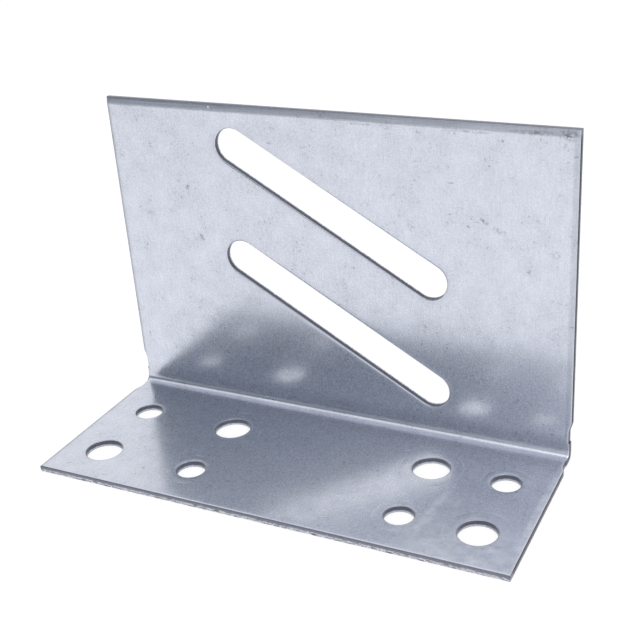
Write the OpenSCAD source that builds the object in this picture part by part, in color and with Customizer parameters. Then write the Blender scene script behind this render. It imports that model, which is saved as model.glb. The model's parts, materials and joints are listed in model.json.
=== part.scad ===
// Connection angle: one zinc-coated steel sheet, punched flat and folded once.
// The foot lies on the timber or wall plate, and the upright stands at the back.
// +Z is up, +X runs along the fold, and the upright's back face looks along +Y.
// The origin is under the middle of the part, on the underside of the foot.

/* [Sheet and fold] */
// Width along the fold
angle_w = 147.5; // [110:0.5:260]
// Height of the upright, from the underside of the foot
upright_h = 100; // [75:0.5:200]
// Depth of the foot, from the back of the upright
foot_d = 60; // [48:0.5:140]
// Thickness of the sheet
sheet_t = 2; // [1.5:0.1:3]
// Inside radius of the fold
fold_r = 2.2; // [1:0.1:5]

/* [Slots in the upright] */
// Width of the slanted adjusting slots
slot_w = 11; // [6:0.1:14]
// Slope of the slots, falling to the right as seen from the front
slot_slope = 30; // [24:0.5:45]
// From the top edge down to the highest slot end's centre
slot_top = 12.5; // [10:0.1:18]
// From the underside up to the lowest slot end's centre
slot_low = 16.4; // [15:0.1:20]

/* [Holes in the foot] */
// Diameter of the bolt holes
bolt_d = 11; // [6:0.1:14]
// Diameter of the screw holes
screw_d = 8.5; // [4:0.1:11]
// From each end of the foot in to the outer holes
end_margin = 13.5; // [10:0.1:18]
// From the front edge of the foot back to the front row
front_margin = 14.1; // [10:0.1:16]
// From the back of the upright forward to the rear row
rear_row = 21.3; // [16:0.1:24]
// From the left outer holes in to the left inner holes
left_pitch = 31.3; // [20:0.1:36]
// From the right outer holes in to the right inner holes
right_pitch = 22.6; // [18:0.1:28]

/* [Sheared edges] */
// Depth of the rounded die roll on the punched side
roll_depth = 0.3; // [0.1:0.05:0.5]
// Radius of the die roll
roll_r = 1; // [0.6:0.1:2]
// Depth of the broader die roll along the upright's top edge
top_roll_depth = 0.4; // [0.2:0.05:0.6]
// Radius of the broader die roll along the upright's top edge
top_roll_r = 8; // [4:0.5:12]
// Smooth cut depth, from the punched face to where the metal tears
shear_depth = 1.1; // [0.7:0.05:1.3]
// How far the torn zone falls back by the far face
tear_back = 0.12; // [0.05:0.01:0.3]

/* [Relief at the fold's ends] */
// Depth of the relief nicks beside the fold
nick_depth = 0.8; // [0.7:0.05:1.5]
// How far the fold's own ends stand back from the sheet's ends
fold_inset = 0.25; // [0.1:0.05:0.5]
// From the fold to the nick on the upright
upright_nick_start = 2.2; // [1:0.1:4]
// Length of the nick on the upright
upright_nick = 6.6; // [4:0.1:8]
// From the fold to the nick on the foot
foot_nick_start = 0.6; // [0.3:0.1:2]
// Length of the nick on the foot
foot_nick = 5.2; // [4:0.1:7]
// Length of the slanting run-out of each nick
nick_runout = 2.8; // [2:0.1:3.5]

/* [Hidden] */
$fn = 96;
over = 1;
lip = 0.01;
zinc = [0.72, 0.75, 0.79];

back_y = foot_d / 2;
fold_out = fold_r + sheet_t;
upright_face = back_y - sheet_t;

// Both slots have the same rise, and the lower one starts level with the upper one's end
slot_rise = (upright_h - slot_top - slot_low) / 2;
slot_c = slot_rise / sin(slot_slope);
slot_mids = [slot_low + slot_rise / 2, slot_low + slot_rise * 3 / 2];

outer_x = angle_w / 2 - end_margin;
left_x = left_pitch - outer_x;
right_x = outer_x - right_pitch;
front_y = front_margin - back_y;
rear_y = back_y - rear_row;
bolt_spots = [[-outer_x, front_y], [left_x, rear_y], [right_x, rear_y], [outer_x, front_y]];
screw_spots = [[-outer_x, rear_y], [left_x, front_y], [right_x, front_y], [outer_x, rear_y]];

// Section of the folded sheet, drawn with depth to the right and height upward
module sheet_section() {
    translate([-back_y, 0])
        square([foot_d - fold_out, sheet_t]);
    translate([upright_face, fold_out])
        square([sheet_t, upright_h - fold_out]);
    translate([back_y - fold_out, fold_out])
        intersection() {
            difference() {
                circle(fold_out);
                circle(fold_r);
            }
            translate([0, -fold_out])
                square(fold_out);
        }
}

// Air beside a sheared edge: the cut lies along x = 0, the punched face along y = 0
module sheared_air(reach, depth = roll_depth, r = roll_r) {
    // The die roll's circle stands a hair proud of the face, so the roll ends in a faint line
    roll_rise = r - lip;
    roll_in = sqrt(pow(r, 2) - pow(roll_rise - depth, 2));
    far_y = -sheet_t - over;
    far_x = -tear_back * (sheet_t + over - shear_depth) / (sheet_t - shear_depth);
    difference() {
        polygon([
            [-roll_in, over],
            [reach, over],
            [reach, far_y],
            [far_x, far_y],
            [0, -shear_depth],
            [0, -depth],
            [-roll_in, -depth]
        ]);
        intersection() {
            translate([-roll_in, -roll_rise])
                circle(r);
            translate([-roll_in, -depth])
                square([roll_in, depth + lip]);
        }
    }
}

// A punched round hole, from its punched face downward
module punched_hole(d, turn = 360) {
    rotate_extrude(angle = turn)
        translate([d / 2, 0])
            mirror([1, 0])
                sheared_air(d / 4);
    translate([0, 0, -sheet_t - 2 * over])
        cylinder(d = d * 3 / 4, h = sheet_t + 4 * over);
}

// A punched slot with round ends, lying along x
module punched_slot(w, c) {
    for (side = [0, 180])
        rotate([0, 0, side])
            translate([c / 2, 0, 0]) {
                rotate([0, 0, -90])
                    punched_hole(w, 180);
                rotate([90, 0, -90])
                    linear_extrude(c)
                        translate([w / 2, 0])
                            mirror([1, 0])
                                sheared_air(w / 4);
            }
    translate([-c / 2, -w * 3 / 8, -sheet_t - 2 * over])
        cube([c, w * 3 / 4, sheet_t + 4 * over]);
}

// A sheared straight edge along x, with the sheet on the -y side and its punched face at z = 0
module sheared_edge(run, depth = roll_depth, r = roll_r) {
    rotate([90, 0, 90])
        linear_extrude(run)
            sheared_air(over, depth, r);
}

// Relief nick at one end of the fold, in the plane of a leg: x runs off the sheet, y away from the fold
module nick(start, run) {
    polygon([
        [over, start],
        [-nick_depth, start],
        [-nick_depth, start + run - nick_runout],
        [0, start + run],
        [over, start + run]
    ]);
}

// Everything that is trimmed at the right end of the sheet
module end_trim() {
    // Nick and sheared edge of the upright
    translate([angle_w / 2, back_y + over, fold_out])
        rotate([90, 0, 0])
            linear_extrude(sheet_t + 2 * over)
                nick(upright_nick_start, upright_nick);
    translate([angle_w / 2, upright_face, upright_h + over])
        rotate([90, 90, 0])
            sheared_edge(upright_h + over - fold_out - upright_nick_start - upright_nick + nick_runout);
    // Nick and sheared edge of the foot
    translate([angle_w / 2, back_y - fold_out, -over])
        mirror([0, 1, 0])
            linear_extrude(sheet_t + 2 * over)
                nick(foot_nick_start, foot_nick);
    translate([angle_w / 2, -back_y - over, sheet_t])
        mirror([1, -1, 0])
            sheared_edge(foot_d + over - fold_out - foot_nick_start - foot_nick + nick_runout);
    // The fold's own end
    translate([angle_w / 2 - fold_inset, back_y - fold_out - foot_nick_start, -over])
        cube([over + fold_inset, fold_out + foot_nick_start + over, over + fold_out + upright_nick_start]);
}

module bracket() {
    color(zinc)
        difference() {
            translate([-angle_w / 2, 0, 0])
                rotate([90, 0, 90])
                    linear_extrude(angle_w)
                        sheet_section();
            // Sheared top edge of the upright
            translate([-angle_w / 2 - over, upright_face, upright_h])
                rotate([90, 0, 0])
                    sheared_edge(angle_w + 2 * over, top_roll_depth, top_roll_r);
            // Sheared front edge of the foot
            translate([angle_w / 2 + over, -back_y, sheet_t])
                rotate([0, 0, 180])
                    sheared_edge(angle_w + 2 * over);
            // Both ends
            end_trim();
            mirror([1, 0, 0])
                end_trim();
            for (mid = slot_mids)
                translate([0, upright_face, mid])
                    rotate([90, 0, 0])
                        rotate([0, 0, -slot_slope])
                            punched_slot(slot_w, slot_c);
            for (spot = bolt_spots)
                translate([spot.x, spot.y, sheet_t])
                    punched_hole(bolt_d);
            for (spot = screw_spots)
                translate([spot.x, spot.y, sheet_t])
                    punched_hole(screw_d);
        }
}

bracket();
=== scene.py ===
# %% [markdown]
# # A folded steel connection angle
#
# The object is one zinc-coated steel sheet, 2 mm thick, that was punched flat and then folded once.
# Its foot has eight holes and its upright has two slanted slots. This lesson makes it in the order of
# the press shop: cut, punch, tear, fold, and then look at the finish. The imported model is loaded
# first. It is the fixed frame that gives the overall size and the places of the holes, and nothing
# here moves it.

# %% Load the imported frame
import json
import math

import bmesh
import bpy
from mathutils import Euler, Matrix, Vector, noise


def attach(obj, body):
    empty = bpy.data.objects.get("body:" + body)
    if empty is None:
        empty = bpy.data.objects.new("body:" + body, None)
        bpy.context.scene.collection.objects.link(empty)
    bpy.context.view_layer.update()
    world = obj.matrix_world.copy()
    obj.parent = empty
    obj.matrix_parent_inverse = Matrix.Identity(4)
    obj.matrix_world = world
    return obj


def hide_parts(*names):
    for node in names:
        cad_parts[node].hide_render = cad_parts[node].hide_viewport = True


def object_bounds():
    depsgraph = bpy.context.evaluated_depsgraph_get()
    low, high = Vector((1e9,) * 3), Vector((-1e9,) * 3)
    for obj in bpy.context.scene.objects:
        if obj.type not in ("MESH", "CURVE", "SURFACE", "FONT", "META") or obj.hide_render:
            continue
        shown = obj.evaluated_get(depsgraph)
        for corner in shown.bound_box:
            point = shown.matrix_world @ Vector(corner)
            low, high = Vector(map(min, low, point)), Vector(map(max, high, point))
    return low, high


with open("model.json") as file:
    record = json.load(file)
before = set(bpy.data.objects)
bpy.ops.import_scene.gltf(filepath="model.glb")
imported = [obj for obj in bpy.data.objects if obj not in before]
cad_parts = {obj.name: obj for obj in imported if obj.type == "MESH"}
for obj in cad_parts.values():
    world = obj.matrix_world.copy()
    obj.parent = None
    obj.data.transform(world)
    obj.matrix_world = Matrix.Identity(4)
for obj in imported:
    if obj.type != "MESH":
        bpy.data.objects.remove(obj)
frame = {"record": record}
cad_low, cad_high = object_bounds()
MM = 0.001
width, depth, height = [side / MM for side in cad_high - cad_low]
print(f"Frame: {width:.1f} mm wide, {depth:.1f} mm deep, {height:.1f} mm high")

# %% [markdown]
# ## From flat blank to folded part
#
# In the press the sheet lies flat while it is cut, and the fold comes last. A flat blank is also the
# easy thing to draw, because every cut goes straight through it. So the mesh is made flat first, in
# millimetres: x runs along the fold, y from the foot's front edge to the upright's top edge, and z up
# through the thickness. One function says where each flat point ends up. It walks along the middle of
# the sheet, which keeps its length. A press brake bends most in the middle of the fold and little at
# its ends, so the turn starts and stops gently.

# %% Sheet and fold
SHEET = 2.0
FOLD_RUN = 7.4
FOLD_STEPS = 60


def walk_fold(run):
    """How far forward and up the middle of the sheet gets in the fold, and its slope there."""
    forward, rise = 0, 0
    for step in range(FOLD_STEPS + 1):
        share = min(step + 0.5, FOLD_STEPS) / FOLD_STEPS * run / FOLD_RUN
        angle = math.pi / 2 * (share - math.sin(2 * math.pi * share) / (2 * math.pi))
        if step < FOLD_STEPS:
            forward += math.cos(angle) * run / FOLD_STEPS
            rise += math.sin(angle) * run / FOLD_STEPS
    return forward, rise, angle


fold_out = walk_fold(FOLD_RUN)[0] + SHEET / 2
foot_flat = depth - fold_out
upright_start = foot_flat + FOLD_RUN
blank_top = upright_start + height - fold_out


def folded(point):
    """Where a point of the flat blank ends up on the folded part."""
    x, along, up = point
    if along <= foot_flat:
        return Vector((x, along - depth / 2, up))
    if along >= upright_start:
        return Vector((x, depth / 2 - up, fold_out + along - upright_start))
    forward, rise, angle = walk_fold(along - foot_flat)
    off_middle = up - SHEET / 2
    y = foot_flat - depth / 2 + forward - off_middle * math.sin(angle)
    return Vector((x, y, SHEET / 2 + rise + off_middle * math.cos(angle)))


print(f"Blank: {width:.1f} x {blank_top:.1f} mm, and the fold is {fold_out:.2f} mm deep")

# %% [markdown]
# ## The outline
#
# The blank is a rectangle with a small nick on either side of each end of the fold. Such nicks give
# the metal room: the fold's ends bulge a little, and still stay behind the ends of the sheet. The
# outline needs only its corner points: a few vertices and the edges between them.

# %% Corner points of the blank
NICK = 0.8
FOOT_TAB_INSET = 0.68
BULGE_INSET = 0.35
UPRIGHT_TAB_INSET = 0.5
RUN_OUT = 2.8
FOOT_NICK_START = 4.8
FOOT_NICK = 5.2
UPRIGHT_NICK_START = 6.4
UPRIGHT_NICK = 6.6

half = width / 2
foot_nick = depth - FOOT_NICK_START
upright_nick = upright_start + UPRIGHT_NICK_START - fold_out
right_end = [
    (half, 0),
    (half, foot_nick - FOOT_NICK),
    (half - NICK, foot_nick - FOOT_NICK + RUN_OUT),
    (half - NICK, foot_nick),
    (half - FOOT_TAB_INSET, foot_nick),
    (half - BULGE_INSET, (foot_flat + upright_start) / 2),
    (half - UPRIGHT_TAB_INSET, upright_nick),
    (half - NICK, upright_nick),
    (half - NICK, upright_nick + UPRIGHT_NICK - RUN_OUT),
    (half, upright_nick + UPRIGHT_NICK),
    (half, blank_top),
]
left_end = [(-x, along) for x, along in reversed(right_end)]

# %% Draw the outline
blank = bmesh.new()
corners = [blank.verts.new((x, along, 0)) for x, along in right_end + left_end]
for here, after in zip(corners, corners[1:] + corners[:1]):
    blank.edges.new((here, after))
print(f"Outline: {len(corners)} corners")

# %% [markdown]
# ## Holes and slots
#
# The record that came with the frame says where the bolts go, so the holes are read from it and not
# measured again. A round hole is a circle. A slot is a circle too, pulled apart: the right half moves
# one way, the left half the other, and the two edges between them stretch into the straight sides.
# Long edges are then cut into short pieces, because a torn edge needs points to be ragged.

# %% Punch positions
SLOT_SLOPE = math.radians(30)
ROUND_POINTS = 88

mounts = frame["record"]["mounts"]
patterns = [mount for mount in mounts if mount["kind"] == "bolt_pattern"]
slides = [mount for mount in mounts if mount["kind"] == "slide"]
for mount in patterns:
    middle = Vector(mount["pos_m"]) / MM
    for side in (-0.5, 0.5):
        spot = (middle.x + side * mount["dims"]["spacing_x_mm"], middle.y + depth / 2, 0)
        radius = mount["dims"]["hole_r_mm"]
        place = Matrix.Translation(spot)
        bmesh.ops.create_circle(blank, segments=ROUND_POINTS, radius=radius, matrix=place)
print(f"Round holes: {2 * len(patterns)}")

# %% Slots
for mount in slides:
    radius = mount["dims"]["hole_r_mm"]
    pull = mount["dims"]["slot_length_mm"] / 2 - radius
    half_step = Matrix.Rotation(math.pi / ROUND_POINTS, 4, "Z")
    ring = bmesh.ops.create_circle(blank, segments=ROUND_POINTS, radius=radius, matrix=half_step)["verts"]
    right_half = [point for point in ring if point.co.x > 0]
    left_half = [point for point in ring if point.co.x < 0]
    bmesh.ops.translate(blank, verts=right_half, vec=(pull, 0, 0))
    bmesh.ops.translate(blank, verts=left_half, vec=(-pull, 0, 0))
    middle = Vector(mount["pos_m"]) / MM
    spot = (middle.x, upright_start + middle.z - fold_out, 0)
    bmesh.ops.rotate(blank, verts=ring, matrix=Matrix.Rotation(-SLOT_SLOPE, 3, "Z"))
    bmesh.ops.translate(blank, verts=ring, vec=spot)
print(f"Slots: {len(slides)}")

# %% Divide the long edges
CUT_STEP = 0.8

for edge in blank.edges[:]:
    pieces = round(edge.calc_length() / CUT_STEP)
    if pieces > 1:
        bmesh.ops.subdivide_edges(blank, edges=[edge], cuts=pieces - 1)
print(f"Cut lines: {len(blank.verts)} points")

# %% [markdown]
# ## What a punch leaves behind
#
# A punched edge has three zones. At the face where the punch goes in, the sheet is drawn down into a
# rounded die roll. Below it the punch shears a smooth band. Then the rest tears, and leaves a rough
# zone that falls back a little. All three follow the cut line, so each point of a cut notes two
# things: its place on the line, and the way into the metal. Those notes go along when the loop is
# extruded, and every further loop is set from them by how far in and how high up it lies.

# %% Note the cut lines
cut_line = blank.verts.layers.float_vector.new("cut_line")
into_metal = blank.verts.layers.float_vector.new("into_metal")
rim = blank.verts.layers.float.new("rim")


def loop_from(start):
    """The points of the closed loop through start, in order."""
    loop = [start]
    edge = start.link_edges[0]
    here = edge.other_vert(start)
    while here != start:
        loop.append(here)
        edge = next(other for other in here.link_edges if other != edge)
        here = edge.other_vert(here)
    return loop


def note_cut(loop, is_hole):
    """Writes each point's place on the cut line, and the way from there into the metal."""
    pairs = zip(loop, loop[1:] + loop[:1])
    runs_left = sum(a.co.x * b.co.y - b.co.x * a.co.y for a, b in pairs) > 0
    turn = -1 if runs_left == is_hole else 1
    for before, here, after in zip(loop[-1:] + loop[:-1], loop, loop[1:] + loop[:1]):
        runs = [(here.co - before.co).normalized(), (after.co - here.co).normalized()]
        ways = [Vector((-run.y, run.x, 0)) * turn for run in runs]
        here[cut_line] = here.co
        here[into_metal] = (ways[0] + ways[1]) / (1 + ways[0].dot(ways[1]))


print("Notes on each point: cut_line, into_metal and rim")

# %% The section of a sheared edge
ROLL_DEPTH = 0.3
ROLL_ANGLES = (0, 25, 45, 62, 77, 90)
EDGE_ROLL = 0.7
HOLE_ROLL = 0.3
TEAR_START = 0.85
TEAR_BACK = 0.05
TEAR_SHARES = (0.2, 0.45, 0.75, 1)


def sheared_section(roll_reach, worn_at_face):
    """Rows of a sheared wall from the face down: how far in, how high up, how worn the coat is."""
    rows = []
    for angle in ROLL_ANGLES:
        turned = math.radians(angle)
        drop = 1 - math.cos(turned)
        worn = worn_at_face + (1 - worn_at_face) * drop
        rows.append((roll_reach * (1 - math.sin(turned)), SHEET - ROLL_DEPTH * drop, worn))
    rows.append((0, TEAR_START, 1))
    for share in TEAR_SHARES:
        rows.append((TEAR_BACK * share, TEAR_START * (1 - share), 1))
    return rows


# %% Sections of the outline, the slots and the holes
WORN_STRIP = 1.2
WORN_AT_FACE = 0.5
STRIPPER_SHARE = 0.72
STRIPPER_WIDTH = 0.35
STRIPPER_DEPTH = 0.08

outline_section = sheared_section(EDGE_ROLL, 0)
slot_section = [(EDGE_ROLL + WORN_STRIP, SHEET, 0)] + sheared_section(EDGE_ROLL, WORN_AT_FACE)


def hole_section(radius):
    """A hole also has the faint ring that the stripper plate presses round it."""
    gap = STRIPPER_SHARE * radius
    ring = [
        (gap + STRIPPER_WIDTH, SHEET, 0),
        (gap, SHEET - STRIPPER_DEPTH, 0),
        (gap - STRIPPER_WIDTH, SHEET, 0),
        (HOLE_ROLL + WORN_STRIP, SHEET, 0),
    ]
    return ring + sheared_section(HOLE_ROLL, WORN_AT_FACE)


print(f"Rows in a wall: {len(outline_section)} at the outline, {len(slot_section)} in a slot")

# %% Build the walls of the cuts
COATED = 0
SHEARED = 1
# The blade drew the zinc some way down the roll, further in the holes and slots
EDGE_COAT = SHEET - 0.45 * ROLL_DEPTH
HOLE_COAT = SHEET - 0.6 * ROLL_DEPTH


def shear(loop, section, coated_down_to):
    """Makes the wall of one cut, loop by loop, and returns its first and last loop of edges."""
    points = set(loop)
    edges = list(dict.fromkeys(edge for point in loop for edge in point.link_edges))
    first = edges
    for row, (reach, level, worn) in enumerate(section):
        if row > 0:
            made = bmesh.ops.extrude_edge_only(blank, edges=edges)["geom"]
            points = {item for item in made if isinstance(item, bmesh.types.BMVert)}
            edges = [item for item in made if isinstance(item, bmesh.types.BMEdge)]
            edges = [edge for edge in edges if points.issuperset(edge.verts)]
            for face in (item for item in made if isinstance(item, bmesh.types.BMFace)):
                face.material_index = COATED if level > coated_down_to else SHEARED
        for point in points:
            place = point[cut_line] + point[into_metal] * reach
            point.co = (place.x, place.y, level)
            point[rim] = worn
    return first, edges


loops = []
for point in blank.verts:
    if not any(point in loop for loop in loops):
        loops.append(loop_from(point))
upper_edges = []
under_edges = []
for loop in loops:
    note_cut(loop, is_hole=loop is not loops[0])
    if loop is loops[0]:
        first, last = shear(loop, outline_section, EDGE_COAT)
    elif len(loop) == ROUND_POINTS:
        radius = (loop[0].co - loop[ROUND_POINTS // 2].co).length / 2
        first, last = shear(loop, hole_section(radius), HOLE_COAT)
    else:
        first, last = shear(loop, slot_section, HOLE_COAT)
    upper_edges += first
    under_edges += last
print(f"Walls of the cuts: {len(blank.faces)} faces")

# %% Fill the two faces of the sheet
bmesh.ops.triangle_fill(blank, use_beauty=True, use_dissolve=False, edges=upper_edges, normal=(0, 0, 1))
bmesh.ops.triangle_fill(blank, use_beauty=True, use_dissolve=False, edges=under_edges, normal=(0, 0, -1))
bmesh.ops.recalc_face_normals(blank, faces=blank.faces[:])
open_edges = [edge for edge in blank.edges if len(edge.link_faces) != 2]
print(f"Flat blank: {len(blank.faces)} faces, {len(open_edges)} open edges, {blank.calc_volume():.0f} mm3")

# %% [markdown]
# ## Tearing, rolling and folding
#
# Four moves turn the clean blank into the real one. The torn zone gets ragged: a noise function
# shifts the line where the metal gave way and roughens what lies below it, always into the metal, so
# that the part never outgrows its frame. The front edge is the most ragged. The rings of the stripper
# plate, which holds the sheet down, are broken into arcs, because it touched only in places. The
# upright's top edge gets a broad roll that turns at a knee and then runs flat. Last comes the fold,
# across rows of points that bisect_plane adds to it.

# %% Roughen the torn zone
TEAR_LINE_WANDER = 0.16
TEAR_ROUGHNESS = 0.14
TEAR_GRAIN = 1.1
FINER = 2.3
FRONT_STRIP = 2.0
CLEAN_TEAR = 0.6

torn = blank.verts.layers.float.new("torn")
for point in blank.verts:
    below = (TEAR_START - point.co.z) / TEAR_START
    point[torn] = below
    if below > -0.001:
        wander = noise.noise(point.co / TEAR_GRAIN)
        grain = 0.5 + 0.5 * noise.noise(point.co * FINER / TEAR_GRAIN)
        # The front edge was cut with the bluntest blade
        raggedness = TEAR_ROUGHNESS if point.co.y < FRONT_STRIP else TEAR_ROUGHNESS / 3
        inward = point[into_metal] * (raggedness * grain * min(1, 3 * below))
        lift = TEAR_LINE_WANDER * wander * (1 - below)
        point.co += Vector((inward.x, inward.y, lift))
        # The ends and the slots were cut with a closer die, and tear only near the under face
        if point.co.y > foot_flat or half - abs(point.co.x) < 1:
            point.co.z *= CLEAN_TEAR
print(f"Torn zone: {sum(point[torn] > -0.001 for point in blank.verts)} points")

# %% Break the stripper's rings into arcs
RING_PATCHES = 7.0
RING_BASE = 0.05
RING_GAIN = 1.7
RING_SEED = Vector((0, 0, 5))

ring_points = [point for point in blank.verts if point[torn] < -0.001 and point[rim] == 0]
ring_points = [point for point in ring_points if point.co.z < SHEET]
for point in ring_points:
    pressed = RING_BASE + RING_GAIN * noise.noise(point.co / RING_PATCHES + RING_SEED)
    point.co.z = SHEET - STRIPPER_DEPTH * min(1, max(0, pressed))
pressed_points = [point for point in ring_points if point.co.z < SHEET]
print(f"Stripper rings: {len(pressed_points)} of {len(ring_points)} points pressed")

# %% Add the rows of points that the fold and the broad roll need
FOLD_ROWS = 22
TOP_ROLL_DEPTH = 0.32
TOP_ROLL_REACH = 2.45
TOP_ROLL_KNEE = 0.9
TOP_ROLL_ROWS = 10

rows = [foot_flat + FOLD_RUN * row / FOLD_ROWS for row in range(FOLD_ROWS + 1)]
rows += [blank_top - TOP_ROLL_REACH * row / TOP_ROLL_ROWS for row in range(1, TOP_ROLL_ROWS + 1)]
for along in rows:
    everything = blank.verts[:] + blank.edges[:] + blank.faces[:]
    bmesh.ops.bisect_plane(blank, geom=everything, dist=0.0001, plane_co=(0, along, 0), plane_no=(0, 1, 0))
print(f"Rows across the blank: {len(rows)}")

# %% Press the broad roll into the top edge
for point in blank.verts:
    past = point.co.y - (blank_top - TOP_ROLL_REACH)
    if past > 0:
        turned = min(past, TOP_ROLL_KNEE)
        drop = turned ** 2 / (2 * TOP_ROLL_KNEE) + past - turned
        drop *= TOP_ROLL_DEPTH / (TOP_ROLL_REACH - TOP_ROLL_KNEE / 2)
        point.co.z *= 1 - drop / SHEET
print(f"Broad roll: {TOP_ROLL_DEPTH} mm deep over {TOP_ROLL_REACH} mm")

# %% Fold the blank
SHARP_ANGLE = 38

flat_place = blank.verts.layers.float_vector.new("flat")
for point in blank.verts:
    point[flat_place] = point.co
    point.co = folded(point.co) * MM
blank.verts.layers.float_vector.remove(blank.verts.layers.float_vector["cut_line"])
blank.verts.layers.float_vector.remove(blank.verts.layers.float_vector["into_metal"])
for face in blank.faces:
    face.smooth = True

sheet_mesh = bpy.data.meshes.new("folded_sheet")
blank.to_mesh(sheet_mesh)
blank.free()
sheet_mesh.set_sharp_from_angle(angle=math.radians(SHARP_ANGLE))
folded_sheet = bpy.data.objects.new("folded_sheet", sheet_mesh)
bpy.context.scene.collection.objects.link(folded_sheet)
even_flats = folded_sheet.modifiers.new("even_flats", "WEIGHTED_NORMAL")
even_flats.keep_sharp = True
print(f"Folded sheet: {len(sheet_mesh.polygons)} faces")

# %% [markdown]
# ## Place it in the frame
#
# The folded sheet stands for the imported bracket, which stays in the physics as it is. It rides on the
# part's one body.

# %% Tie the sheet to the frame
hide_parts("bracket")
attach(folded_sheet, "root")
print(f"{folded_sheet.name} stands for the bracket")

# %% [markdown]
# ## Colours and nodes
#
# Colours are written as the sRGB hex values that a paint program shows, and one function turns them
# into the linear values that shaders count in. One small helper adds a node, its settings and its
# links, so that each material below reads as a list of what it is made of.

# %% Colour and node helpers


def linear(hex_colour):
    """An sRGB hex colour such as D2D7E4, as the linear RGBA that shader sockets take."""
    channels = [int(hex_colour[i:i + 2], 16) / 255 for i in (0, 2, 4)]
    return [c / 12.92 if c <= 0.04045 else ((c + 0.055) / 1.055) ** 2.4 for c in channels] + [1.0]


def add_node(tree, kind, inputs=None, **settings):
    """Adds a shader node. An input that is a node or a socket becomes a link."""
    node = tree.nodes.new("ShaderNode" + kind)
    for name, value in settings.items():
        setattr(node, name, value)
    for key, value in (inputs or {}).items():
        if isinstance(value, bpy.types.Node):
            value = value.outputs[0]
        if isinstance(value, bpy.types.NodeSocket):
            tree.links.new(value, node.inputs[key])
        else:
            node.inputs[key].default_value = value
    return node


def new_material(name):
    """An empty material, and the node tree to fill."""
    material = bpy.data.materials.new(name)
    material.use_nodes = True
    material.node_tree.nodes.clear()
    return material, material.node_tree


# %% [markdown]
# ## Zinc-coated sheet
#
# Hot-dip zinc on cold-rolled steel is a bright bluish grey metal. The rolls that finish it leave a
# satin surface with fine streaks along the strip and grey specks. All of that is drawn on the flat
# blank's own millimetres, which the mesh carries as an attribute, so the streaks run up the foot,
# round the fold and on up the upright, as they do on the real strip. The real streaks and grain are
# finer than a picture of the whole part can show, so both are drawn as coarse as it needs.

# %% Zinc: streaks, mottling and specks
STREAK_WIDTH = 0.45
STREAK_LENGTH = 5.0
GRAIN_SIZE = 0.6
MOTTLE_SIZE = 6.0
SPECK_SIZE = 0.8

zinc, tree = new_material("zinc_coated_sheet")
flat = add_node(tree, "Attribute", attribute_name="flat").outputs["Vector"]
streak_scale = (1 / STREAK_WIDTH, 1 / STREAK_LENGTH, 1)
streak_place = add_node(tree, "Mapping", {"Vector": flat, "Scale": streak_scale})
streaks = add_node(tree, "TexNoise", {"Vector": streak_place, "Scale": 1.0, "Detail": 2.0})
grain = add_node(tree, "TexNoise", {"Vector": flat, "Scale": 1 / GRAIN_SIZE, "Detail": 1.0})
mottling = add_node(tree, "TexNoise", {"Vector": flat, "Scale": 1 / MOTTLE_SIZE, "Detail": 4.0})
speck_noise = add_node(tree, "TexNoise", {"Vector": flat, "Scale": 1 / SPECK_SIZE, "Detail": 1.0})
# Noise lies mostly between 0.3 and 0.7, so specks are its peaks, in the darker parts of the mottling
speck_spots = add_node(tree, "MapRange", {"Value": speck_noise, "From Min": 0.62, "From Max": 0.78})
speck_places = add_node(tree, "MapRange", {"Value": mottling, "From Min": 0.44, "From Max": 0.62})
specks = add_node(tree, "Math", {0: speck_spots, 1: speck_places}, operation="MULTIPLY")
print(f"Zinc: streaks {STREAK_WIDTH} mm wide, specks about {SPECK_SIZE} mm across")

# %% [markdown]
# ### Scuffs and smears
#
# Handling leaves small grey scuffs on the upright, and wiping leaves pale smears on the foot. Each
# mark is a soft spot with its own place, size and tilt. A noise breaks it up, so that its outline
# isn't seen.

# %% Zinc: scuffs from handling
# Each scuff: x on the part, height on the upright, length, width, tilt in degrees, strength
SCUFFS = [
    (-48.0, 73.5, 2.6, 1.6, 50, 0.55),
    (-44.8, 57.2, 4.4, 1.8, -60, 0.50),
    (-63.0, 63.6, 4.0, 2.2, -30, 0.35),
    (-17.8, 89.6, 2.4, 1.6, 10, 0.45),
    (-70.8, 82.0, 2.0, 4.0, 0, 0.35),
    (47.5, 72.2, 3.6, 1.3, -42, 0.70),
    (52.1, 69.8, 5.6, 2.2, -20, 0.40),
    (25.9, 68.6, 2.4, 4.0, 20, 0.45),
    (52.7, 95.4, 1.1, 1.1, 0, 0.80),
    (38.1, 82.5, 3.0, 0.7, 0, 0.50),
    (67.5, 64.8, 4.0, 3.0, 0, 0.35),
    (70.4, 98.0, 6.0, 3.4, 0, 0.85),
    (62.0, 98.2, 16.0, 1.8, 0, 0.45),
    (44.0, 97.3, 14.0, 0.8, 0, 0.50),
    (12.0, 97.2, 26.0, 0.7, 0, 0.50),
]
SCUFF_GRAIN = 0.8
SCUFF_SKIN = 1.5

worn = 0.0
for x, up, length, across, tilt, strength in SCUFFS:
    spot = (x, upright_start + up - fold_out, SHEET)
    turned = (0, 0, math.radians(tilt))
    sized = (length / 2, across / 2, SCUFF_SKIN)
    settings = {"Vector": flat, "Location": spot, "Rotation": turned, "Scale": sized}
    place = add_node(tree, "Mapping", settings, vector_type="TEXTURE")
    reach = add_node(tree, "VectorMath", {0: place}, operation="LENGTH").outputs["Value"]
    settings = {"Value": reach, "From Min": 0.2, "From Max": 1.1, "To Min": strength, "To Max": 0.0}
    mark = add_node(tree, "MapRange", settings)
    worn = add_node(tree, "Math", {0: worn, 1: mark}, operation="MAXIMUM")
scuff_noise = add_node(tree, "TexNoise", {"Vector": flat, "Scale": 1 / SCUFF_GRAIN, "Detail": 3.0})
scuff_grain = add_node(tree, "MapRange", {"Value": scuff_noise, "From Min": 0.38, "From Max": 0.62})
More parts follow.
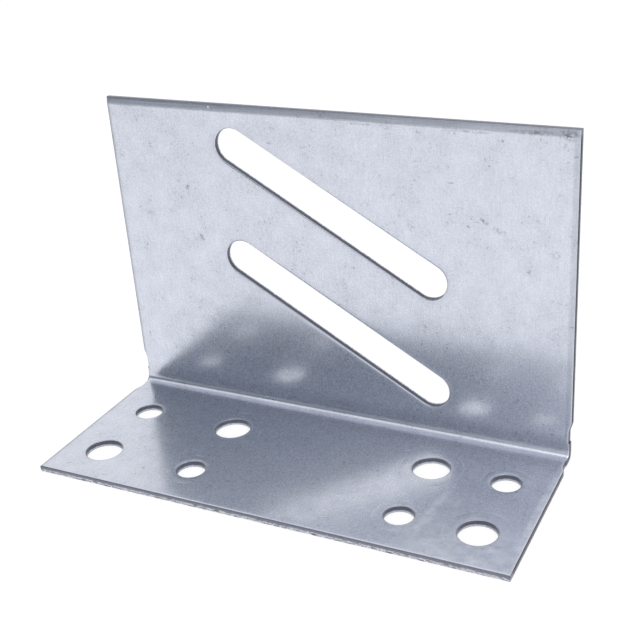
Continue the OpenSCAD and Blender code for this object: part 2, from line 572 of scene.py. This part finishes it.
scuffs = add_node(tree, "Math", {0: worn, 1: scuff_grain}, operation="MULTIPLY")
print(f"Scuffs: {len(SCUFFS)}")

# %% Zinc: smears on the foot
# Each smear: x on the part, distance from the front edge, size in x, size in y, tilt, strength
SMEARS = [
    (45.5, 17.0, 5.0, 34.0, -4, 0.9),
    (41.0, 8.0, 9.0, 6.0, 20, 0.6),
    (49.5, 25.0, 8.0, 8.0, 0, 0.5),
    (66.5, 7.5, 7.0, 4.0, 40, 0.7),
    (66.0, 40.0, 6.0, 16.0, -12, 0.5),
    (60.0, 4.0, 46.0, 44.0, 0, 0.9),
    (72.4, 20.0, 3.2, 76.0, 0, 1.0),
]
SMEAR_GRAIN = 3.0

smeared = 0.0
for x, out, length, across, tilt, strength in SMEARS:
    turned = (0, 0, math.radians(tilt))
    sized = (length / 2, across / 2, SHEET)
    settings = {"Vector": flat, "Location": (x, out, SHEET), "Rotation": turned, "Scale": sized}
    place = add_node(tree, "Mapping", settings, vector_type="TEXTURE")
    reach = add_node(tree, "VectorMath", {0: place}, operation="LENGTH").outputs["Value"]
    settings = {"Value": reach, "From Min": 0.3, "From Max": 1.0, "To Min": strength, "To Max": 0.0}
    mark = add_node(tree, "MapRange", settings)
    smeared = add_node(tree, "Math", {0: smeared, 1: mark}, operation="MAXIMUM")
smear_noise = add_node(tree, "TexNoise", {"Vector": flat, "Scale": 1 / SMEAR_GRAIN, "Detail": 4.0})
smear_grain = add_node(tree, "MapRange", {"Value": smear_noise, "From Min": 0.3, "From Max": 0.8})
smears = add_node(tree, "Math", {0: smeared, 1: smear_grain}, operation="MULTIPLY")
print(f"Smears: {len(SMEARS)}")

# %% [markdown]
# ### Wear along the edges, and painted shade at the ends and the fold
#
# Zinc is soft. Punching draws it thin over the rolls of the cuts, and the blade drew fine lines along
# the top. The left end and the upright's right end are darkened as painted shade, for the darker
# surroundings that their rims mirror, and so is a line just above the fold, more to the right, as
# painted shade in the crease. Each is a strip of the blank, so a range of x or y finds it, or the rim
# attribute, which grows from 0 to 1 down the roll of a cut.

# %% Zinc: worn beside the cuts
SLOT_ROLL_WEAR = 0.25
HOLE_ROLL_WEAR = 0.6
HOLE_WEAR_RANGE = (0.42, 0.6)

place = add_node(tree, "SeparateXYZ", {"Vector": flat}).outputs
across = place["X"]
along = place["Y"]
off_middle = add_node(tree, "Math", {0: across}, operation="ABSOLUTE")
near_rim = add_node(tree, "Attribute", attribute_name="rim").outputs["Fac"]
worn_edge = add_node(tree, "MapRange", {"Value": near_rim, "From Max": WORN_AT_FACE})
for value, inside, edge in (
    (off_middle, half - EDGE_ROLL - WORN_STRIP, half - EDGE_ROLL),
    (along, EDGE_ROLL + WORN_STRIP, EDGE_ROLL),
):
    strip = add_node(tree, "MapRange", {"Value": value, "From Min": inside, "From Max": edge})
    worn_edge = add_node(tree, "Math", {0: worn_edge, 1: strip}, operation="MAXIMUM")
on_foot = add_node(tree, "MapRange", {"Value": along, "From Min": foot_flat, "From Max": foot_flat - 1})
settings = {"Value": near_rim, "From Min": WORN_AT_FACE, "To Max": SLOT_ROLL_WEAR}
on_roll = add_node(tree, "MapRange", settings)
starts, full = HOLE_WEAR_RANGE
settings = {"Value": near_rim, "From Min": starts, "From Max": full, "To Max": HOLE_ROLL_WEAR}
hole_roll = add_node(tree, "MapRange", settings)
hole_roll = add_node(tree, "Math", {0: hole_roll, 1: on_foot}, operation="MULTIPLY")
on_roll = add_node(tree, "Math", {0: on_roll, 1: hole_roll}, operation="MAXIMUM")
print(f"Worn strips beside the cuts: {WORN_STRIP} mm")

# %% Zinc: painted shade at the left end and the right end
LEFT_SHADE_STRIP = 1.2
LEFT_SHADE_EDGE = 0.3
LEFT_SHADE_DEPTH = 0.4
RIGHT_SHADE_STRIP = 2.2
RIGHT_SHADE_EDGE = 1.6
RIGHT_SHADE_DEPTH = 0.16

# Painted shade: the left end's rims are darkened, for the darker floor that they mirror
settings = {"Value": across, "From Min": LEFT_SHADE_STRIP - half, "From Max": LEFT_SHADE_EDGE - half}
left_end_shade = add_node(tree, "MapRange", {**settings, "To Max": LEFT_SHADE_DEPTH})
# Painted shade: the upright darkens over its last strip at the right end, for the darker surroundings its
# rolled rim mirrors
settings = {"Value": across, "From Min": half - RIGHT_SHADE_STRIP, "From Max": half - RIGHT_SHADE_EDGE}
right_end_shade = add_node(tree, "MapRange", {**settings, "To Max": RIGHT_SHADE_DEPTH})
off_foot = add_node(tree, "MapRange", {"Value": along, "From Min": foot_flat, "From Max": upright_start})
right_end_shade = add_node(tree, "Math", {0: right_end_shade, 1: off_foot}, operation="MULTIPLY")
# The thin coat on the rolls is real wear; the two ends and the fold add painted shade to it
thin_coat_and_shade = add_node(tree, "Math", {0: on_roll, 1: left_end_shade}, operation="MAXIMUM")
thin_coat_and_shade = add_node(tree, "Math", {0: thin_coat_and_shade, 1: right_end_shade}, operation="MAXIMUM")
print(f"Ends: left scraped {LEFT_SHADE_STRIP} mm wide, right rubbed {RIGHT_SHADE_STRIP} mm wide")

# %% Zinc: painted shade above the fold
FOLD_SHADE_TOP = 4.0
FOLD_SHADE_FULL = 0.5
FOLD_SHADE_LOW = (2.2, 1.0)
FOLD_SHADE_LEFT = 10.0
FOLD_SHADE_DEPTH = (0.1, 0.28)

# Painted shade: darker towards the fold and more to the right, for the crease where the upright mirrors the
# foot
settings = {"Value": along, "From Min": upright_start + FOLD_SHADE_TOP, "From Max": upright_start + FOLD_SHADE_FULL}
above_fold = add_node(tree, "MapRange", settings)
# The bright line in the fold itself stays clear of this painted shade
settings = {"Value": along, "From Min": upright_start - FOLD_SHADE_LOW[0], "From Max": upright_start - FOLD_SHADE_LOW[1]}
clear_of_line = add_node(tree, "MapRange", settings)
settings = {"Value": across, "From Min": FOLD_SHADE_LEFT - half, "From Max": half}
fold_shade = add_node(tree, "MapRange", {**settings, "To Min": FOLD_SHADE_DEPTH[0], "To Max": FOLD_SHADE_DEPTH[1]})
fold_shade = add_node(tree, "Math", {0: fold_shade, 1: above_fold}, operation="MULTIPLY")
fold_shade = add_node(tree, "Math", {0: fold_shade, 1: clear_of_line}, operation="MULTIPLY")
thin_coat_and_shade = add_node(tree, "Math", {0: thin_coat_and_shade, 1: fold_shade}, operation="MAXIMUM")
print(f"Rubbed line: up to {FOLD_SHADE_TOP} mm above the fold")

# %% Zinc: drawn along the top
DRAWN_LENGTH = 14.0
DRAWN_WIDTH = 0.4
DRAWN_WEAR = 0.24
BAND_EASE = 0.5

band_start = blank_top - TOP_ROLL_REACH
settings = {"Value": along, "From Min": band_start, "From Max": band_start + BAND_EASE}
top_band = add_node(tree, "MapRange", settings)
drawn_scale = (1 / DRAWN_LENGTH, 1 / DRAWN_WIDTH, 0)
drawn_place = add_node(tree, "Mapping", {"Vector": flat, "Scale": drawn_scale})
drawn_noise = add_node(tree, "TexNoise", {"Vector": drawn_place, "Scale": 1.0, "Detail": 2.0})
settings = {"Value": drawn_noise, "From Min": 0.35, "From Max": 0.7, "To Max": DRAWN_WEAR}
drawn = add_node(tree, "MapRange", settings)
top_dull = add_node(tree, "Math", {0: top_band, 1: drawn}, operation="MULTIPLY")
thin_coat_and_shade = add_node(tree, "Math", {0: thin_coat_and_shade, 1: top_dull}, operation="MAXIMUM")
print(f"Drawn band along the top: {TOP_ROLL_REACH} mm")

# %% Zinc: rougher where the fold and the top roll stretched it
FOLD_EASE = 2.0
FOLD_ROUGHER = 0.08
TOP_EASE = 0.25
TOP_ROUGHER = 0.2

settings = {"Value": along, "From Min": foot_flat, "From Max": foot_flat + FOLD_EASE}
into_fold = add_node(tree, "MapRange", settings)
settings = {"Value": along, "From Min": upright_start, "From Max": upright_start - FOLD_EASE}
out_of_fold = add_node(tree, "MapRange", settings)
in_fold = add_node(tree, "Math", {0: into_fold, 1: out_of_fold}, operation="MULTIPLY")
in_fold = add_node(tree, "Math", {0: in_fold, 1: FOLD_ROUGHER}, operation="MULTIPLY")
settings = {"Value": along, "From Min": band_start, "From Max": band_start + TOP_EASE}
on_top_roll = add_node(tree, "MapRange", {**settings, "To Max": TOP_ROUGHER})
stretched = add_node(tree, "Math", {0: in_fold, 1: on_top_roll}, operation="MAXIMUM")
print(f"Rougher by {FOLD_ROUGHER} in the fold and {TOP_ROUGHER} on the top roll")

# %% [markdown]
# ### The zinc put together
#
# One lobe of reflection isn't enough for zinc. A satin metal mirrors the room softly, and a hazy one
# spreads some of the light as the fine grain does, so the two are mixed. Smears, worn edges and the
# stripper's arcs are hazier. Over both lies a thin pale film where the foot was wiped, and one white
# fleck near the top edge is a painted glint.

# %% Zinc: colour and relief
BRIGHT_ZINC = "E4E8F4"
DULL_ZINC = "6E727C"
SPECK_SHARE = 0.42
ROUGHNESS = (0.19, 0.24)
RELIEF = 0.000004

speck_share = add_node(tree, "Math", {0: specks, 1: SPECK_SHARE}, operation="MULTIPLY")
dulled = add_node(tree, "Math", {0: speck_share, 1: scuffs}, operation="MAXIMUM")
for pattern, share in ((mottling, 0.10), (grain, 0.07), (streaks, 0.09)):
    settings = {"Value": pattern, "From Min": 0.3, "From Max": 0.7, "To Max": share}
    toned = add_node(tree, "MapRange", settings)
    dulled = add_node(tree, "Math", {0: dulled, 1: toned}, operation="ADD", use_clamp=True)
dulled = add_node(tree, "Math", {0: dulled, 1: thin_coat_and_shade}, operation="ADD", use_clamp=True)
colours = {0: dulled, 6: linear(BRIGHT_ZINC), 7: linear(DULL_ZINC)}
colour = add_node(tree, "Mix", colours, data_type="RGBA").outputs[2]
settings = {"Value": mottling, "From Min": 0.3, "From Max": 0.7}
rubbed = add_node(tree, "MapRange", {**settings, "To Min": ROUGHNESS[0], "To Max": ROUGHNESS[1]})
roughness = add_node(tree, "Math", {0: stretched, 1: rubbed}, operation="ADD")
relief = add_node(tree, "Math", {0: streaks, 1: grain}, operation="ADD")
bump = add_node(tree, "Bump", {"Height": relief, "Strength": 0.5, "Distance": RELIEF})
print(f"Zinc: colour {BRIGHT_ZINC} to {DULL_ZINC}, roughness {ROUGHNESS[0]} to {ROUGHNESS[1]}")

# %% Zinc: where it is hazy
HAZE = 0.3
HAZE_GRAIN = 0.09
HAZE_ROUGHNESS = 0.5
SMEAR_HAZE = 0.5
EDGE_HAZE = 0.2
RING_HAZE = 0.5

settings = {"Value": grain, "From Min": 0.3, "From Max": 0.7}
hazy = add_node(tree, "MapRange", {**settings, "To Min": HAZE - HAZE_GRAIN, "To Max": HAZE + HAZE_GRAIN})
settings = {"Value": place["Z"], "From Min": SHEET, "From Max": SHEET - STRIPPER_DEPTH}
pressed_in = add_node(tree, "MapRange", settings)
off_rim = add_node(tree, "MapRange", {"Value": near_rim, "From Min": 0.05, "From Max": 0.0})
ring = add_node(tree, "Math", {0: pressed_in, 1: on_foot}, operation="MULTIPLY")
ring = add_node(tree, "Math", {0: ring, 1: off_rim}, operation="MULTIPLY")
for spots, share in ((smears, SMEAR_HAZE), (worn_edge, EDGE_HAZE), (ring, RING_HAZE)):
    settings = {0: spots, 1: share, 2: hazy}
    hazy = add_node(tree, "Math", settings, operation="MULTIPLY_ADD", use_clamp=True)
look = {"Base Color": colour, "Metallic": 1.0, "Normal": bump}
satin = add_node(tree, "BsdfPrincipled", {**look, "Roughness": roughness})
haze = add_node(tree, "BsdfPrincipled", {**look, "Roughness": HAZE_ROUGHNESS})
bare = add_node(tree, "MixShader", {0: hazy, 1: satin, 2: haze})
print(f"Haze: {HAZE} of the reflection on clean sheet")

# %% Zinc: film and a painted glint
FILM_SHARE = 0.25
FILM_AND_GLINT_COLOUR = "F4F5FA"
GLINT_SIZE = 0.8
GLINT_PLACE = (-37.4, blank_top - 1.0, SHEET)

# Painted glint: a white fleck near the top edge stands in for a glint of light on the top roll
fleck_size = (GLINT_SIZE / 2, GLINT_SIZE / 2, SHEET)
settings = {"Vector": flat, "Location": GLINT_PLACE, "Scale": fleck_size}
fleck_place = add_node(tree, "Mapping", settings, vector_type="TEXTURE")
fleck_reach = add_node(tree, "VectorMath", {0: fleck_place}, operation="LENGTH").outputs["Value"]
fleck = add_node(tree, "MapRange", {"Value": fleck_reach, "From Min": 1.0, "From Max": 0.7})
film_and_glint = add_node(tree, "Math", {0: smears, 1: FILM_SHARE}, operation="MULTIPLY")
film_and_glint = add_node(tree, "Math", {0: film_and_glint, 1: fleck}, operation="MAXIMUM")
film_and_glint_shader = add_node(tree, "BsdfDiffuse", {"Color": linear(FILM_AND_GLINT_COLOUR)})
shader = add_node(tree, "MixShader", {0: film_and_glint, 1: bare, 2: film_and_glint_shader})
add_node(tree, "OutputMaterial", {"Surface": shader})
print(f"Zinc finished: {len(tree.nodes)} nodes")

# %% [markdown]
# ## Sheared steel
#
# Where the blade went through there is no zinc, only bare steel. The smooth band is dark and scored in
# the direction of the cut, and the torn zone below it is lighter, matt and grainy. Both are steel, so
# one material holds them, and the torn attribute of the mesh says which zone a point is in. A noise
# makes the border between them wander, least in the holes. Each tool left its own tone: the front and
# top edges are lighter, the two ends darker, and the front edge's torn zone has dark dashes. The smooth
# band in the holes and slots is darker, partly as painted shade for the shaded floor their walls mirror.

# %% Sheared steel: smooth band or torn zone
BORDER_GRAIN = 0.9
BORDER_WANDER = (0.35, 0.1)
HOLE_BAND_SHIFT = -0.1
FRONT_BAND_SHIFT = 0.2
BAND_END = (0.28, 0.08)

sheared, tree = new_material("sheared_steel")
flat = add_node(tree, "Attribute", attribute_name="flat").outputs["Vector"]
place = add_node(tree, "SeparateXYZ", {"Vector": flat}).outputs
along = place["Y"]
off_middle = add_node(tree, "Math", {0: place["X"]}, operation="ABSOLUTE")
below = add_node(tree, "Attribute", attribute_name="torn").outputs["Fac"]
inside = add_node(tree, "MapRange", {"Value": off_middle, "From Min": half - 1, "From Max": half - 3})
behind_front = add_node(tree, "MapRange", {"Value": along, "From Min": 1.0, "From Max": 3.0})
before_fold = add_node(tree, "MapRange", {"Value": along, "From Min": foot_flat, "From Max": foot_flat - 1})
in_hole = add_node(tree, "Math", {0: inside, 1: behind_front}, operation="MULTIPLY")
in_hole = add_node(tree, "Math", {0: in_hole, 1: before_fold}, operation="MULTIPLY")
at_front = add_node(tree, "MapRange", {"Value": along, "From Min": 3.0, "From Max": 1.0})
border_noise = add_node(tree, "TexNoise", {"Vector": flat, "Scale": 1 / BORDER_GRAIN, "Detail": 2.0})
settings = {"Value": in_hole, "To Min": BORDER_WANDER[0], "To Max": BORDER_WANDER[1]}
wander = add_node(tree, "MapRange", settings)
border = add_node(tree, "Math", {0: border_noise, 1: wander, 2: below}, operation="MULTIPLY_ADD")
for where, shift in ((in_hole, HOLE_BAND_SHIFT), (at_front, FRONT_BAND_SHIFT)):
    border = add_node(tree, "Math", {0: where, 1: shift, 2: border}, operation="MULTIPLY_ADD")
settings = {"Value": border, "From Min": BAND_END[0], "From Max": BAND_END[1]}
smooth_band = add_node(tree, "MapRange", settings)
print(f"Border of the torn zone wanders every {BORDER_GRAIN} mm")

# %% Sheared steel: tones of the smooth band
SCORE_WIDTH = 0.3
END_STRIP = (1.2, 0.9)
FOLD_CLEAR = (9.0, 11.0)

score_scale = (1 / SCORE_WIDTH, 1 / SCORE_WIDTH, 0.3)
score_place = add_node(tree, "Mapping", {"Vector": flat, "Scale": score_scale})
scores = add_node(tree, "TexNoise", {"Vector": score_place, "Scale": 1.0, "Detail": 2.0})
tones = []
# The first pair, used in the holes and slots, is darker partly as painted shade, for the shaded floor that
# their walls mirror
for dark, light in (("464857", "6C6E7C"), ("6C6E7B", "8E909E"), ("2C2E38", "4A4C58")):
    colours = {0: scores, 6: linear(dark), 7: linear(light)}
    tones.append(add_node(tree, "Mix", colours, data_type="RGBA").outputs[2])
punched_tone_and_shade, trimmed, cropped = tones
at_top = add_node(tree, "MapRange", {"Value": along, "From Min": blank_top - 3, "From Max": blank_top - 1})
slit = add_node(tree, "Math", {0: at_front, 1: at_top}, operation="MAXIMUM")
colours = {0: slit, 6: punched_tone_and_shade, 7: trimmed}
band_colour = add_node(tree, "Mix", colours, data_type="RGBA").outputs[2]
# The dark ends stop short of the corners, and of the fold, where the bend stretched the cut
settings = {"Value": off_middle, "From Min": half - END_STRIP[0], "From Max": half - END_STRIP[1]}
at_end = add_node(tree, "MapRange", settings)
fold_middle = (foot_flat + upright_start) / 2
from_fold = add_node(tree, "Math", {0: along, 1: fold_middle}, operation="SUBTRACT")
from_fold = add_node(tree, "Math", {0: from_fold}, operation="ABSOLUTE")
settings = {"Value": from_fold, "From Min": FOLD_CLEAR[0], "From Max": FOLD_CLEAR[1]}
clear_of_fold = add_node(tree, "MapRange", settings)
at_end = add_node(tree, "Math", {0: at_end, 1: clear_of_fold}, operation="MULTIPLY")
at_end = add_node(tree, "Math", {0: at_end, 1: slit}, operation="SUBTRACT", use_clamp=True)
colours = {0: at_end, 6: band_colour, 7: cropped}
band_colour = add_node(tree, "Mix", colours, data_type="RGBA").outputs[2]
print(f"Smooth band: {len(tones)} tones, scored every {SCORE_WIDTH} mm")

# %% Sheared steel: tones of the torn zone
TORN_GRAIN = 0.45
PITTED = "A0A2AE"
FRESH = "E8EAF0"
HOLE_TORN = "B2B4C0"
HOLE_SHARE = 0.6
DASH = "72747E"
DASH_LENGTH = 2.2
DASH_HEIGHT = 0.35

torn_grain = add_node(tree, "TexNoise", {"Vector": flat, "Scale": 1 / TORN_GRAIN, "Detail": 3.0})
pits = add_node(tree, "MapRange", {"Value": torn_grain, "From Min": 0.35, "From Max": 0.6})
in_hole_share = add_node(tree, "Math", {0: in_hole, 1: HOLE_SHARE}, operation="MULTIPLY")
dash_scale = (1 / DASH_LENGTH, 0, 1 / DASH_HEIGHT)
dash_place = add_node(tree, "Mapping", {"Vector": flat, "Scale": dash_scale})
dash_noise = add_node(tree, "TexNoise", {"Vector": dash_place, "Scale": 1.0, "Detail": 3.0})
dashes = add_node(tree, "MapRange", {"Value": dash_noise, "From Min": 0.5, "From Max": 0.62})
dashes = add_node(tree, "Math", {0: dashes, 1: at_front}, operation="MULTIPLY")
torn_colour = linear(PITTED)
for share, tone in ((pits, FRESH), (in_hole_share, HOLE_TORN), (dashes, DASH)):
    colours = {0: share, 6: torn_colour, 7: linear(tone)}
    torn_colour = add_node(tree, "Mix", colours, data_type="RGBA").outputs[2]
print(f"Torn zone: grain of {TORN_GRAIN} mm, dashes of {DASH_LENGTH} mm on the front edge")

# %% Sheared steel: put together
SMOOTH_ROUGHNESS = 0.34
TORN_ROUGHNESS = 0.55
TORN_RELIEF = 0.00008

colours = {0: smooth_band, 6: torn_colour, 7: band_colour}
colour = add_node(tree, "Mix", colours, data_type="RGBA").outputs[2]
settings = {"Value": smooth_band, "To Min": TORN_ROUGHNESS, "To Max": SMOOTH_ROUGHNESS}
roughness = add_node(tree, "MapRange", settings)
bump = add_node(tree, "Bump", {"Height": torn_grain, "Strength": 0.6, "Distance": TORN_RELIEF})
look = {"Base Color": colour, "Metallic": 1.0, "Roughness": roughness, "Normal": bump}
shader = add_node(tree, "BsdfPrincipled", look)
add_node(tree, "OutputMaterial", {"Surface": shader})
for material in (zinc, sheared):
    sheet_mesh.materials.append(material)
print("Materials:", ", ".join(material.name for material in sheet_mesh.materials))

# %% [markdown]
# ## The studio
#
# Metal shows what stands round it, so the studio matters more than the lamps. White walls and a white
# floor make the upright bright. A dark blue card, curved round the front left, is seen only in the
# metal: the foot and the upright mirror it in each other, which draws the dark triangle near the
# fold. The floor is white paper. It glows for the camera and for reflections, just enough to be
# white, and what it gets from the lamps still shows the shadow.

# %% Floor
FLOOR_SIZE = 3.0
FLOOR_GLOW = 0.8

floor_mesh = bpy.data.meshes.new("floor")
floor_shape = bmesh.new()
bmesh.ops.create_grid(floor_shape, x_segments=1, y_segments=1, size=FLOOR_SIZE)
floor_shape.to_mesh(floor_mesh)
floor_shape.free()
floor = bpy.data.objects.new("floor", floor_mesh)
bpy.context.scene.collection.objects.link(floor)

paper, tree = new_material("white_paper")
path = add_node(tree, "LightPath").outputs
seen = add_node(tree, "Math", {0: path["Is Camera Ray"], 1: path["Is Glossy Ray"]}, operation="MAXIMUM")
seen = add_node(tree, "Math", {0: seen, 1: path["Is Transmission Ray"]}, operation="MAXIMUM")
glow_strength = add_node(tree, "Math", {0: seen, 1: FLOOR_GLOW}, operation="MULTIPLY")
matt = add_node(tree, "BsdfDiffuse", {"Color": linear("888888")})
glow = add_node(tree, "Emission", {"Color": linear("FFFFFF"), "Strength": glow_strength})
both = add_node(tree, "AddShader", {0: matt, 1: glow})
add_node(tree, "OutputMaterial", {"Surface": both})
floor_mesh.materials.append(paper)
print(f"Floor: {2 * FLOOR_SIZE:.0f} m square")

# %% Dark card
CARD_AWAY = 0.75
CARD_LOW = 0.05
CARD_HIGH = 0.6
CARD_FROM = -170
CARD_TO = -99
CARD_STEPS = 24

card_mesh = bpy.data.meshes.new("dark_card")
card_shape = bmesh.new()
bottom = card_shape.verts.new((CARD_AWAY, 0, CARD_LOW))
top = card_shape.verts.new((CARD_AWAY, 0, CARD_HIGH))
side = card_shape.edges.new((bottom, top))
to_start = Matrix.Rotation(math.radians(CARD_FROM), 3, "Z")
bmesh.ops.rotate(card_shape, matrix=to_start, verts=[bottom, top])
bmesh.ops.spin(
    card_shape,
    geom=[bottom, top, side],
    cent=(0, 0, 0),
    axis=(0, 0, 1),
    angle=math.radians(CARD_TO - CARD_FROM),
    steps=CARD_STEPS,
)
card_shape.to_mesh(card_mesh)
card_shape.free()
card = bpy.data.objects.new("dark_card", card_mesh)
bpy.context.scene.collection.objects.link(card)
card.visible_camera = False
card.visible_diffuse = False
card.visible_shadow = False

card_paint, tree = new_material("dark_blue_card")
matt = add_node(tree, "BsdfDiffuse", {"Color": linear("224C62")})
add_node(tree, "OutputMaterial", {"Surface": matt})
card_mesh.materials.append(card_paint)
print(f"Card: {CARD_TO - CARD_FROM} degrees round the part, {CARD_AWAY} m away")

# %% White surroundings and a soft lamp overhead
WALL_LEVEL = 0.92
LAMP_SIZE = 0.5
LAMP_WATTS = 1.5
LAMP_PLACE = Vector((0.2, -0.15, 0.9))

world = bpy.data.worlds.new("white_studio")
bpy.context.scene.world = world
world.use_nodes = True
tree = world.node_tree
tree.nodes.clear()
walls = add_node(tree, "Background", {"Color": linear("FFFFFF"), "Strength": WALL_LEVEL})
add_node(tree, "OutputWorld", {"Surface": walls})

lamp_data = bpy.data.lights.new("softbox", "AREA")
lamp_data.size = LAMP_SIZE
lamp_data.energy = LAMP_WATTS
softbox = bpy.data.objects.new("softbox", lamp_data)
softbox.location = LAMP_PLACE
softbox.rotation_euler = (-LAMP_PLACE).to_track_quat("-Z", "Y").to_euler()
bpy.context.scene.collection.objects.link(softbox)
print(f"Light: walls at {WALL_LEVEL}, softbox of {LAMP_WATTS} W")

# %% [markdown]
# ## The camera
#
# The camera stands to the right of the part and above it, close by, so that the upright's sides lean
# together. Its place and lens were fitted to the part's own edges.

# %% Camera
LENS = 63.41
SHIFT = -0.05
CAMERA_PLACE = Vector((141.3, -247.7, 183.5))
CAMERA_TURN = (64.327, 3.173, 24.708)

camera_data = bpy.data.cameras.new("camera")
camera_data.lens = LENS
camera_data.shift_x = SHIFT
camera_data.clip_start = 0.01
camera = bpy.data.objects.new("camera", camera_data)
camera.location = CAMERA_PLACE * MM
camera.rotation_euler = Euler([math.radians(angle) for angle in CAMERA_TURN])
bpy.context.scene.collection.objects.link(camera)
bpy.context.scene.camera = camera
bpy.context.scene.view_settings.view_transform = "Standard"
print(f"Camera: {CAMERA_PLACE.length:.0f} mm from the part, with a {LENS} mm lens")
